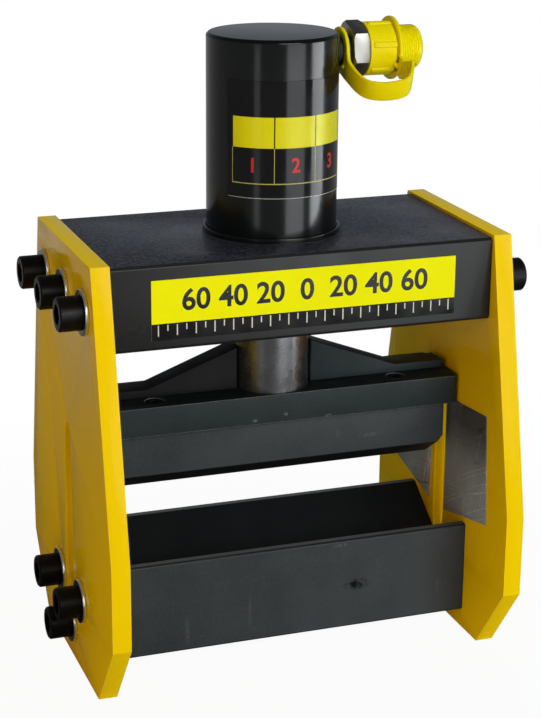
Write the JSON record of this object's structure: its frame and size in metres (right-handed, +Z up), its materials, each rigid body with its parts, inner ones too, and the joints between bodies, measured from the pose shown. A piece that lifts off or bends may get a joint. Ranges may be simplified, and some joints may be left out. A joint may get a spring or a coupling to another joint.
{
  "type": "hydraulic busbar bender",
  "caption": "Bench press with two steel side plates, a top cylinder and a V punch and die, for bending flat copper bars.",
  "frame": {"origin": "on the ground, under the middle of the machine", "axes": "+X from the left side plate to the right one, -Y the front with the printed panels, +Z up along the ram"},
  "size_m": [0.258, 0.176, 0.3461],
  "materials": {
    "yellow_paint": "glossy powder coat, bright yellow",
    "black_paint": "satin black, finely textured on the beam's top",
    "black_gloss": "glossy black paint",
    "dark_steel": "blackened steel with light scuffs",
    "ram_steel": "ground and polished steel",
    "screw_black": "black oxide",
    "washer_steel": "dark steel, bright at the rim",
    "spring_steel": "oiled spring wire",
    "coupler_steel": "plated steel, bright flats",
    "bronze": "turned bronze",
    "seal_rubber": "black sealing rubber",
    "gauge_black": "thin black sheet, scratched",
    "panel_yellow": "printed yellow and black film",
    "panel_black": "printed black film with a yellow band",
    "cap_yellow": "moulded yellow plastic"
  },
  "bodies": {
    "frame": {"left_side_plate": "yellow_paint", "right_side_plate": "yellow_paint", "top_beam": "black_paint", "barrel_lock_ring": "black_paint", "cylinder_barrel": "black_gloss", "lower_die": "dark_steel", "coupler_nipple": "dark_steel", "beam_screw_left_1": "screw_black", "beam_screw_left_2": "screw_black", "beam_screw_left_3": "screw_black", "die_screw_left_1": "screw_black", "die_screw_left_2": "screw_black", "die_screw_left_3": "screw_black", "beam_screw_right_1": "screw_black", "beam_screw_right_2": "screw_black", "beam_screw_right_3": "screw_black", "die_screw_right_1": "screw_black", "die_screw_right_2": "screw_black", "die_screw_right_3": "screw_black", "beam_washer_left_1": "washer_steel", "beam_washer_left_2": "washer_steel", "beam_washer_left_3": "washer_steel", "die_washer_left_1": "washer_steel", "die_washer_left_2": "washer_steel", "die_washer_left_3": "washer_steel", "beam_washer_right_1": "washer_steel", "beam_washer_right_2": "washer_steel", "beam_washer_right_3": "washer_steel", "die_washer_right_1": "washer_steel", "die_washer_right_2": "washer_steel", "die_washer_right_3": "washer_steel", "return_spring": "spring_steel", "valve_spring": "spring_steel", "coupler_body": "coupler_steel", "ram_bush": "bronze", "ram_wiper": "seal_rubber", "gauge_plate_front": "gauge_black", "gauge_plate_rear": "gauge_black", "beam_panel": "panel_yellow", "barrel_panel": "panel_black", "cap_strap": "cap_yellow"},
    "ram_unit": {"piston": "ram_steel", "piston_seal": "seal_rubber", "piston_guide_ring": "bronze", "piston_screw": "screw_black", "ram": "ram_steel", "carrier_screw": "screw_black", "carrier_bar": "dark_steel", "carrier_rib_left": "dark_steel", "carrier_rib_right": "dark_steel", "upper_punch": "dark_steel", "punch_screw_1": "screw_black", "punch_screw_2": "screw_black", "punch_screw_3": "screw_black", "punch_screw_4": "screw_black"},
    "cap_ring": {"strap_ring": "cap_yellow"},
    "cap": {"dust_cap": "cap_yellow"},
    "check_ball": {"valve_ball": "ram_steel"}
  },
  "joints": [
    {"name": "ram_stroke", "type": "slide", "parent": "frame", "child": "ram_unit", "axis": [0, 0, -1], "range_m": [0, 0.048], "stiffness_N_per_m": 1900, "springref_m": -0.06, "deforming": ["return_spring"]},
    {"name": "cap_travel", "type": "slide", "parent": "frame", "child": "cap_ring", "axis": [1, 0, 0], "range_m": [0, 0.009]},
    {"name": "cap_turn", "type": "hinge", "parent": "cap_ring", "child": "cap", "pos_m": [0.06, 0, 0.3293], "axis": [1, 0, 0], "range_deg": [0, 1080]},
    {"name": "valve_push", "type": "slide", "parent": "frame", "child": "check_ball", "axis": [-1, 0, 0], "range_m": [0, 0.003], "stiffness_N_per_m": 400, "springref_m": -0.004, "deforming": ["valve_spring"]}
  ],
  "couplings": [
    {"joint": "cap_turn", "follows": "cap_travel", "rad_per_m": 2094.4}
  ]
}
